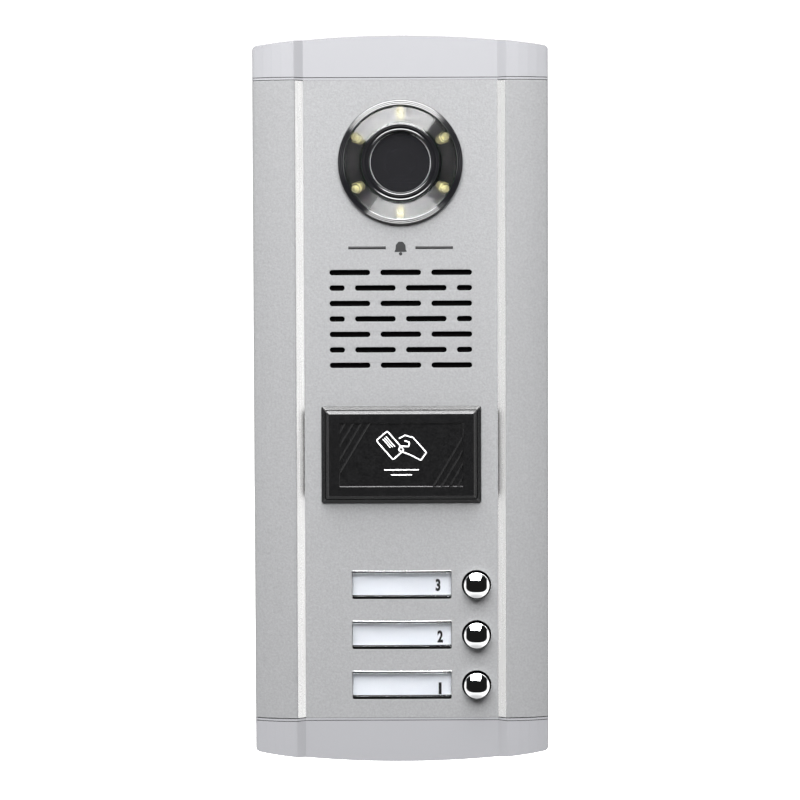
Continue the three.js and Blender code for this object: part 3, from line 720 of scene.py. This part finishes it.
def make_diffuser():
    """The clear ring over the LEDs, its front cut in fine concentric grooves."""
    low, high = box_mm("led_diffuser")
    inner, outer = 17.4, 24.6
    grooves, depth, dish = 17, 0.12, 0.4
    front = low.y - 0.25
    profile = [(inner, high.y), (inner, front + dish)]
    for groove in range(grooves):
        for within, sunk in ((0.6, depth), (1.0, 0.0)):
            t = (groove + within) / grooves
            profile.append((inner + (outer - inner) * t, front + dish * (1 - t) + sunk))
    profile.append((outer, high.y - 0.2))
    made = lathe("diffuser_ring", profile, CAMERA.x, CAMERA.z, "grooved", "panel",
                 segments=160, smooth_angle=20)
    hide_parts("led_diffuser")


def make_shroud():
    """The black stepped ring round the window, with a groove between its two ridges. Each point of
    its front is a distance out from the bore and a height over the panel's face."""
    bore, back = 13.7, -27
    inner_ridge = [(0, 0.25), (0.15, 0.6), (0.6, 0.78), (1.05, 0.6), (1.25, 0.3)]
    groove = [(1.4, 0.05), (1.9, 0.05)]
    outer_ridge = [(2.05, 0.3), (2.25, 0.7), (2.65, 0.85), (3.1, 0.85), (3.4, 0.65), (3.5, 0.3)]
    shoulder = [(3.5, -3.2), (2.7, -3.4)]
    front = [*inner_ridge, *groove, *outer_ridge, *shoulder]
    profile = [(bore + out, FACE_Y - rise) for out, rise in front]
    profile = [(bore, back), *profile, (bore + 2.7, back)]
    made = lathe("window_ring", profile, CAMERA.x, CAMERA.z, "gloss", "panel",
                 segments=160, smooth_angle=50)
    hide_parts("lens_shroud")


def make_window():
    low, high = box_mm("lens_window")
    r = (high.x - low.x) / 2
    profile = [(0, low.y), (r - 0.3, low.y), (r, low.y + 0.3), (r, high.y), (0, high.y)]
    made = lathe("window_disc", profile, CAMERA.x, CAMERA.z, ["smoked", "ground"], "panel")
    for part in made.data.polygons:
        across = part.center.x / MM - CAMERA.x, part.center.z / MM - CAMERA.z
        if math.hypot(*across) > r - 0.25:
            part.material_index = 1
    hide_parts("lens_window")


def make_lens():
    """The barrel's stepped nose and the front glass element in it."""
    low, high = box_mm("lens_barrel")
    front, back = low.y, high.y
    mouth = [(0, 2.2), (2.6, 1.9), (3.3, 0.5), (3.5, 0.1)]
    rim = [(4.6, 0.25), (4.7, 0.05), (5.7, 0), (6.2, 0.25), (6.4, 0.7)]
    thread_r, thread_start = 5.6, 5.8
    steps = [*mouth, *rim, (6.4, thread_start - 0.4), (thread_r, thread_start)]
    profile = [(r, front + depth) for r, depth in steps] + [(thread_r, back), (0, back)]
    made = lathe("lens_nose", profile, CAMERA.x, CAMERA.z, "gloss", "panel")
    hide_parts("lens_barrel")
    glass_r, seat, height = 2.5, front + 1.9, 0.9
    turns = [math.pi / 2 * k / 8 for k in range(9)]
    bulge = [(glass_r * math.sin(t), seat - height * math.cos(t)) for t in turns]
    element = [*bulge, (glass_r, seat + 0.1), (0, seat + 0.2)]
    lathe("lens_element", element, CAMERA.x, CAMERA.z, "smoked", "panel", segments=64)


def make_leds():
    """Six domed LEDs, each in a small cup of the same glowing phosphor: the cup's glow is painted light
    that widens each LED's spot.
    """
    for number in range(1, 7):
        node = f"led_{number}"
        place = centre_mm(node)
        low, high = box_mm(node)
        dome_r, dome_height, foot_r, foot = 1.4, 1.1, 1.7, high.y - 0.9
        turns = [math.pi / 2 * k / 6 for k in range(7)]
        dome = [(dome_r * math.sin(t), low.y + dome_height * (1 - math.cos(t))) for t in turns]
        profile = [*dome, (dome_r, foot), (foot_r, foot), (foot_r, high.y), (0, high.y)]
        made = lathe(f"led_dome_{number}", profile, place.x, place.z, "led", "panel",
                     segments=32)
        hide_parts(node)
        # The cup glows with the LED's emission though it is no lamp: a painted glow.
        base, lip = high.y - 1.0, low.y + 0.5
        cup = [(1.75, base), (2.3, lip), (2.45, lip), (2.45, base + 0.3), (1.75, base + 0.3)]
        lathe(f"led_cup_{number}", cup, place.x, place.z, "led", "panel",
              segments=48)


make_bezel()
make_diffuser()
make_shroud()
make_window()
make_lens()
make_leds()
dress("camera_seal", "foam")
soften("led_reflector", "reflector", 0.1)
dress("led_board", "board")
soften("lens_holder", "black")
dress("camera_board", "board")
soften("camera_pod", "black")

# ---------------------------------------------------------------- sound

dress("speaker_mesh", "cloth")
dress("speaker_gasket", "foam")
soften("speaker_basket", "steel", 0.1)
dress("speaker_cone", "cone")
soften("speaker_magnet", "steel", 0.3)
dress("microphone_boot", "foam")
soften("microphone_capsule", "steel")

# ---------------------------------------------------------------- card reader


def make_reader_frame():
    """The outer black frame: a wide bevel, a small step and a sleeve through the panel."""
    low, high = box_mm("reader_frame")
    width, height = high.x - low.x, high.z - low.z
    z = (low.z + high.z) / 2
    front, back, face_back = low.y, high.y, FACE_Y - 0.1
    inner_w, inner_h = width - 3.4, height - 3.4
    sleeve_w, sleeve_h = READER_OPENING[0] - 0.8, READER_OPENING[1] - 0.8
    bore_w, bore_h, ledge = 62.0, 34.4, -39.0
    rim = face_back - 0.35
    rings = [
        (sleeve_w, sleeve_h, 1.0, back),
        (sleeve_w, sleeve_h, 1.0, face_back),
        (width, height, 1.0, face_back),
        (width, height, 1.0, rim),
        (width - 0.1, height - 0.1, 0.95, rim - 0.1),
        (width - 3.1, height - 3.1, 0.8, front + 0.05),
        (width - 3.2, height - 3.2, 0.8, front),
        (inner_w, inner_h, 0.8, front + 0.12),
        (inner_w, inner_h, 0.8, ledge),
        (bore_w, bore_h, 0.8, ledge),
        (bore_w, bore_h, 0.8, back),
    ]
    outlines = [rect_loop(w, h, r, y, z) for w, h, r, y in rings]
    made = lofted("reader_surround", outlines, "reader", "panel", closed=True)
    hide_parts("reader_frame")


def make_reader_cover():
    """The reader's front: a second bevel, and a shallow sunk field in its middle."""
    low, high = box_mm("reader_cover")
    width, height = high.x - low.x, high.z - low.z
    front, back, ledge, rim = READER_FRONT, high.y, -39.2, -40.4
    hollow_w, hollow_h, hollow_y = 58.0, 30.4, -40.2
    skirt_w, skirt_h = 61.4, 33.8
    field_w, field_h = READER_FIELD
    rings = [
        (hollow_w, hollow_h, 0.6, hollow_y),
        (hollow_w, hollow_h, 0.6, back),
        (skirt_w, skirt_h, 0.6, back),
        (skirt_w, skirt_h, 0.6, ledge),
        (width, height, 0.8, ledge),
        (width, height, 0.8, rim),
        (width - 0.2, height - 0.2, 0.8, rim - 0.2),
        (width - 2.8, height - 2.8, 0.7, front + 0.1),
        (width - 3.1, height - 3.1, 0.7, front),
        (field_w + 0.15, field_h + 0.15, 0.45, front),
        (field_w, field_h, 0.4, front + 0.1),
        (field_w - 0.5, field_h - 0.5, 0.3, FIELD_Y),
    ]
    outlines = [rect_loop(w, h, r, y, READER.z) for w, h, r, y in rings]
    made = lofted("reader_plate", outlines, "reader", "panel")
    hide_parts("reader_cover")


def make_reader_ribs():
    """Four slanting ribs across the sunk field's lower right corner, and four across its upper left."""
    slope = math.tan(math.radians(59))
    rib, pitch, first = 0.9, 3.55, 13.6
    half_w, half_h = READER_FIELD[0] / 2 - 0.15, READER_FIELD[1] / 2 - 0.1
    tallest = 2 * half_h * 0.78
    levels = [(FIELD_Y + 0.05, 0.0), (READER_FRONT + 0.26, 0.02), (READER_FRONT + 0.02, 0.34)]
    for corner, side in (("low_right", 1), ("high_left", -1)):
        for number in range(4):
            foot = first + number * pitch
            bm = bmesh.new()
            loops = []
            for y, shrink in levels:
                width = rib - 2 * shrink
                start = foot + shrink
                ends = [(start, -half_h), (start + width, -half_h)]
                for side_foot in (start + width, start):
                    rise = min((half_w - side_foot) * slope, tallest)
                    ends.append((side_foot + rise / slope, rise - half_h))
                loops.append([bm.verts.new((side * a, y, READER.z + side * b)) for a, b in ends])
            bridge(bm, loops)
            bm.faces.new(loops[0])
            bm.faces.new(loops[-1])
            finish_mesh(f"reader_rib_{corner}_{number + 1}", bm, "reader", "panel")


def stroke(name, points, width, y, finish, body, closed=False):
    """A printed line: a thin raised ribbon along points in X and Z."""
    curve = bpy.data.curves.new(name, "CURVE")
    curve.dimensions = "3D"
    curve.bevel_depth = width / 2
    curve.bevel_resolution = 2
    curve.use_fill_caps = True
    spline = curve.splines.new("POLY")
    spline.points.add(len(points) - 1)
    for point, (x, z) in zip(spline.points, points):
        point.co = (x, 0, z, 1)
    spline.use_cyclic_u = closed
    bm = mesh_of_curve(curve)
    thin = 0.2
    for v in bm.verts:
        v.co.y = y + v.co.y * thin
    finish_mesh(name, bm, finish, body)


def smooth_corners(points, radius, closed=True):
    """The same outline with each corner rounded."""
    made = []
    for i, p in enumerate(points):
        if not closed and i in (0, len(points) - 1):
            made.append(p)
        else:
            made += rounded_corner(points, i, radius)
    return made


def make_reader_mark():
    """A plain pictogram of a card held to the reader, printed in white on the sunk field."""
    y, z = FIELD_Y, READER.z
    line = 0.55
    along = Vector((math.cos(math.radians(-49)), math.sin(math.radians(-49))))
    across = Vector((-along.y, along.x))
    card = Vector((-4.9, z + 4.2))

    def on_card(a, b):
        p = card + along * a + across * b
        return (p.x, p.y)

    half_long, half_short = 5.6, 3.2
    signs = [(-1, -1), (1, -1), (1, 1), (-1, 1)]
    corners = [on_card(a * half_long, b * half_short) for a, b in signs]
    stroke("mark_card", smooth_corners(corners, 0.9), line, y, "white_ink", "panel", True)
    for number, b in enumerate((-0.6, 0.3, 1.2)):
        ends = [on_card(-4.2, b), on_card(0.8 + number * 0.5, b)]
        stroke(f"mark_stripe_{number + 1}", ends, 0.4, y, "white_ink", "panel")
    hand = [(-1.0, 7.2), (1.6, 8.6), (5.2, 7.6), (11.0, 1.0), (8.6, -2.4), (3.4, 0.2), (-1.2, 2.0),
            (-0.4, 3.9), (3.2, 3.6), (3.6, 5.6), (1.4, 6.2)]
    hand = smooth_corners([(x, z + h) for x, h in hand], 0.5, closed=False)
    stroke("mark_hand", hand, line, y, "white_ink", "panel")
    for number, half in enumerate((7.6, 4.6)):
        level = z - 6.6 - 2.2 * number
        ends = [(-half, level), (half, level)]
        stroke(f"mark_rule_{number + 1}", ends, 0.5, y, "white_ink", "panel")


make_reader_frame()
make_reader_cover()
make_reader_ribs()
make_reader_mark()
dress("reader_board", "board")
dress("antenna_coil", "copper")

# ---------------------------------------------------------------- name plates and call buttons


def make_plate_window(row):
    """The clear window, bowed outwards, with rounded edges."""
    low, high = box_mm(f"nameplate_window_{row}")
    half, bow, edge = (high.x - low.x) / 2, 0.5, 0.35
    z_low, z_high = low.z, high.z
    steps = 24
    outlines = []
    for y_shift, shrink in ((0.0, edge), (edge * 0.3, edge * 0.3), (edge, 0.0)):
        front = []
        for k in range(steps + 1):
            x = -half + shrink + (2 * half - 2 * shrink) * k / steps
            front.append((x, low.y + y_shift + bow * (x / half) ** 2))
        loop = [(x, y, z_high - shrink) for x, y in front]
        loop += [(x, y, z_low + shrink) for x, y in reversed(front)]
        outlines.append(loop)
    back = [(x, high.y, zz) for x, _, zz in outlines[-1]]
    outlines.append(back)
    bm = bmesh.new()
    loops = [[bm.verts.new(p) for p in outline] for outline in outlines]
    bridge(bm, loops)
    for loop in (loops[0], loops[-1]):
        for k in range(steps):
            bm.faces.new((loop[k], loop[k + 1], loop[-k - 2], loop[-k - 1]))
    made = finish_mesh(f"plate_window_{row}", bm, "clear", f"nameplate_window_{row}")
    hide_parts(f"nameplate_window_{row}")


def make_plate_bars(row):
    """The black bars above and below the window. The upper one stands proud of the face and sags a
    little in its middle. Its up-facing facet takes the bright metal as a painted highlight."""
    z = centre_mm(f"nameplate_card_{row}").z
    half, top = PLATE_OPENING[0] / 2 - 0.15, PLATE_OPENING[1] / 2 - 0.05
    under, sag, proud, steps = 5.25, 0.2, 0.22, 16
    front, back = FACE_Y - proud, FACE_Y + 1.2
    upper = [
        (back, top), (FACE_Y - 0.02, top), (front, top - 0.16), (front, top - 0.2),
        (front + 0.02, under + 0.2), (FACE_Y + 0.3, under), (back, under),
    ]
    low_front = FACE_Y + 0.25
    lower = [
        (back, -top), (low_front + 0.1, -top), (low_front, -top + 0.1), (low_front, -under - 0.1),
        (low_front + 0.1, -under), (back, -under),
    ]
    for name, section, bow in (("upper", upper, sag), ("lower", lower, 0.0)):
        outlines = []
        for k in range(steps + 1):
            x = -half + 2 * half * k / steps
            fall = bow * (1 - (x / half) ** 2)
            outlines.append([(x, y, z + h - (fall if h > under + 0.1 else 0)) for y, h in section])
        bar = lofted(f"plate_{name}_bar_{row}", outlines, ["cavity", "bright"], "panel")
        # The upper bar's up-facing front facets get the bright metal: a painted highlight on black
        # plastic.
        for part in bar.data.polygons:
            if bow and part.center.y / MM < FACE_Y and part.normal.z > 0.3:
                part.material_index = 1


def make_numeral(row):
    """The row's number, printed on its card in a narrow bold face, and a black line at the card's foot
    that is painted shade for the gap under the window.
    """
    low, high = box_mm(f"nameplate_card_{row}")
    text = bpy.data.curves.new(f"numeral_{row}", "FONT")
    text.body = str(row)
    text.size = 6.6
    text.offset = 0.30
    text.extrude = 0.02
    text.align_x = "CENTER"
    text.align_y = "CENTER"
    bm = mesh_of_curve(text)
    narrow, x, drop = NUMERAL_FIT[row]
    z = (low.z + high.z) / 2 - drop
    across = [v.co.x for v in bm.verts]
    upward = [v.co.y for v in bm.verts]
    middle_a = (min(across) + max(across)) / 2
    middle_b = (min(upward) + max(upward)) / 2
    for v in bm.verts:
        a, b, depth = v.co
        v.co = (x + (a - middle_a) * narrow, low.y - 0.03 - depth, z + b - middle_b)
    finish_mesh(f"numeral_{row}", bm, "black_ink", "panel")
    # A black line along the card's foot: painted shade for the gap under the window.
    level = low.z + 0.2
    ends = [(low.x + 0.3, level), (high.x - 0.3, level)]
    stroke(f"card_rule_{row}", ends, 0.5, low.y, "black_ink", "panel")


def make_button(row):
    """A chromed cap with straight sides and a domed front, on its black plunger."""
    node = f"call_button_{row}"
    low, high = box_mm(node)
    x, z = (low.x + high.x) / 2, (low.z + high.z) / 2
    top, rim, edge, radius = low.y, low.y + 1.95, 0.35, BUTTON_R - 0.12
    flat = radius - edge
    sphere = (flat**2 + (rim - top) ** 2) / (2 * (rim - top))
    dome = []
    for k in range(13):
        r = flat * k / 12
        dome.append((r, top + sphere - math.sqrt(sphere**2 - r**2)))
    turns = [math.pi / 2 * k / 4 for k in range(1, 5)]
    lip = [(flat + edge * math.sin(t), rim + edge * (1 - math.cos(t)) + 0.1) for t in turns]
    skirt = FACE_Y + 0.8
    profile = [*dome, *lip, (radius, skirt), (0, skirt)]
    cap = lathe(f"button_cap_{row}", profile, x, z, "chrome", node,
                segments=96, smooth_angle=40)
    cap.visible_glossy = False
    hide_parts(node)
    body_r, collar_r, stem_r = BUTTON_R - 0.1, 7.6, 1.7
    body_front, collar_front, collar_back, tip = skirt + 0.05, -36.0, -34.8, -27.8
    plunger = [
        (0, body_front), (body_r, body_front), (body_r, collar_front), (collar_r - 0.1, collar_front),
        (collar_r, collar_front + 0.1), (collar_r, collar_back), (stem_r, collar_back), (stem_r, tip),
        (stem_r - 0.2, high.y), (0, high.y),
    ]
    lathe(f"button_plunger_{row}", plunger, x, z, "cavity", node, segments=64)


def make_spring(row):
    """The return spring: a coil of wire between the ends of its box."""
    node = f"button_spring_{row}"
    low, high = box_mm(node)
    place = centre_mm(f"call_button_{row}")
    wire, coil, turns, steps, sides = 0.3, 3.2, 3.25, 104, 10
    front, back = low.y + wire, high.y - wire
    outlines = []
    for k in range(steps + 1):
        angle = 2 * math.pi * turns * k / steps
        out = Vector((math.cos(angle), 0, math.sin(angle)))
        middle = Vector((place.x, front + (back - front) * k / steps, place.z)) + out * coil
        ring = (2 * math.pi * i / sides for i in range(sides))
        around = (out * math.cos(t) + Vector((0, math.sin(t), 0)) for t in ring)
        outlines.append([middle + way * wire for way in around])
    made = lofted(f"return_spring_{row}", outlines, "steel", "panel")
    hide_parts(node)
    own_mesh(made)


for row in ROWS:
    make_spring(row)
    make_plate_window(row)
    make_plate_bars(row)
    make_numeral(row)
    make_button(row)
    dress(f"nameplate_card_{row}", "card")
    soften(f"tact_switch_{row}", "black", 0.15)
soften("button_carrier", "black")
dress("button_board", "board")

# ---------------------------------------------------------------- main electronics

dress("main_board", "board")
soften("terminal_block", "green", 0.15)
soften("volume_trimmer", "blue", 0.15)
soften("trimmer_rotor", "copper", 0.08)
soften("door_relay", "blue", 0.3)

# ---------------------------------------------------------------- generic mark above the grille


def make_front_mark():
    """A plain bell pictogram between two bars, printed on the face."""
    y, z = FACE_Y - 0.01, 67.2
    for number, side in enumerate((-1, 1)):
        ends = [(side * 6.5, z), (side * 23.0, z)]
        stroke(f"face_bar_{number + 1}", ends, 1.3, y, "black_ink", "panel")
    half_bell = [(3.2, -1.9), (2.3, -1.0), (2.1, 1.2), (0.9, 2.6)]
    bell = [(-x, z + h) for x, h in half_bell] + [(x, z + h) for x, h in reversed(half_bell)]
    clapper = circle_points(0, z - 2.7, 0.75, 32)
    for name, outline in (("face_bell", smooth_corners(bell, 0.5)), ("face_clapper", clapper)):
        flat_piece(name, [outline], y - 0.03, y + 0.03, 0.01, "black_ink", "panel")


make_front_mark()

# ---------------------------------------------------------------- floor, light and camera


def make_floor():
    """A plain pale floor, well below the hanging panel. It only shows, and lights nothing."""
    size, level = 6.0, -0.5
    bm = bmesh.new()
    bmesh.ops.create_grid(bm, x_segments=8, y_segments=8, size=size)
    mesh = bpy.data.meshes.new("floor")
    bm.to_mesh(mesh)
    bm.free()
    floor = bpy.data.objects.new("floor", mesh)
    floor.location.z = level
    floor.visible_glossy = False
    floor.visible_diffuse = False
    floor.visible_transmission = False
    floor.visible_shadow = False
    bpy.context.scene.collection.objects.link(floor)
    s = Surface("floor_white", (0.93, 0.93, 0.93), 0.8)
    s.vary_color(s.noise(400.0, 2.0), 0.99)
    s.shader.inputs["Emission Color"].default_value = (1, 1, 1, 1)
    s.shader.inputs["Emission Strength"].default_value = 0.9
    mesh.materials.append(s.material)


def make_world():
    """A dark room straight ahead of the panel, in an oval that reaches furthest to the sides, and
    white walls, ground and background round it. It is plain white where the camera sees it direct."""
    world = bpy.data.worlds.new("studio")
    world.use_nodes = True
    bpy.context.scene.world = world
    tree = world.node_tree
    link = tree.links.new

    def calc(operation, *values):
        made = tree.nodes.new("ShaderNodeMath")
        made.operation = operation
        for socket, value in zip(made.inputs, values):
            if isinstance(value, (int, float)):
                socket.default_value = value
            else:
                link(value, socket)
        return made.outputs[0]

    def step(value, start, end):
        made = tree.nodes.new("ShaderNodeMapRange")
        made.interpolation_type = "SMOOTHSTEP"
        made.inputs["From Min"].default_value = start
        made.inputs["From Max"].default_value = end
        link(value, made.inputs["Value"])
        return made.outputs["Result"]

    split = tree.nodes.new("ShaderNodeSeparateXYZ")
    link(tree.nodes.new("ShaderNodeTexCoord").outputs["Generated"], split.inputs["Vector"])
    x, y, z = split.outputs
    reach_side, reach_up, reach_down = 0.945, 0.98, 0.74
    wide = calc("DIVIDE", x, reach_side)
    tall = calc("ADD", calc("MAXIMUM", calc("DIVIDE", z, reach_up), 0.0),
                calc("MAXIMUM", calc("DIVIDE", z, -reach_down), 0.0))
    squareness = 2.7
    wide_part = calc("POWER", calc("ABSOLUTE", wide), squareness)
    tall_part = calc("POWER", tall, squareness)
    oval = calc("POWER", calc("ADD", wide_part, tall_part), 1 / squareness)
    surround = calc("MAXIMUM", step(oval, 0.96, 1.02), step(y, -0.25, 0.0))
    room_level, wall_level, right_extra, ground_fall = 0.012, 1.4, 0.16, -0.75
    wall = calc("MULTIPLY_ADD", x, right_extra, wall_level)
    wall = calc("MULTIPLY_ADD", step(calc("MULTIPLY", z, -1.0), reach_down, 1.0), ground_fall, wall)
    level = calc("ADD", calc("MULTIPLY", surround, wall), room_level)
    path = tree.nodes.new("ShaderNodeLightPath")
    background = tree.nodes["Background"]
    link(calc("MAXIMUM", level, path.outputs["Is Camera Ray"]), background.inputs["Strength"])
    background.inputs["Color"].default_value = (1, 1, 1, 1)


def make_light(name, place, target, width, height, power):
    data = bpy.data.lights.new(name, "AREA")
    data.shape = "RECTANGLE"
    data.size, data.size_y = width, height
    data.energy = power
    light = bpy.data.objects.new(name, data)
    light.location = place
    light.rotation_euler = (Vector(target) - Vector(place)).to_track_quat("-Z", "Y").to_euler()
    bpy.context.scene.collection.objects.link(light)


def make_camera():
    """The camera looks almost straight at the panel, from a little above its middle."""
    distance, height, frame_height = 1.15, 0.05, 0.3523
    aim = Vector((-0.0005, FACE_Y * MM, 0.0002))
    data = bpy.data.cameras.new("camera")
    data.sensor_width = 36.0
    data.lens = data.sensor_width * math.hypot(distance, height) / frame_height
    camera = bpy.data.objects.new("camera", data)
    camera.location = aim + Vector((0, -distance, height))
    roll = math.radians(0.2)
    look = (aim - camera.location).to_track_quat("-Z", "Y")
    camera.rotation_euler = (look @ Quaternion((0, 0, 1), -roll)).to_euler()
    data.clip_start, data.clip_end = 0.01, 50
    bpy.context.scene.collection.objects.link(camera)
    bpy.context.scene.camera = camera


bpy.context.scene.view_settings.view_transform = "Standard"
make_floor()
make_world()
make_light("top_softbox", (-0.14, -1.1, 1.88), (0.0, -0.1, 0.15), 2.75, 2.6, 390.0)
make_camera()
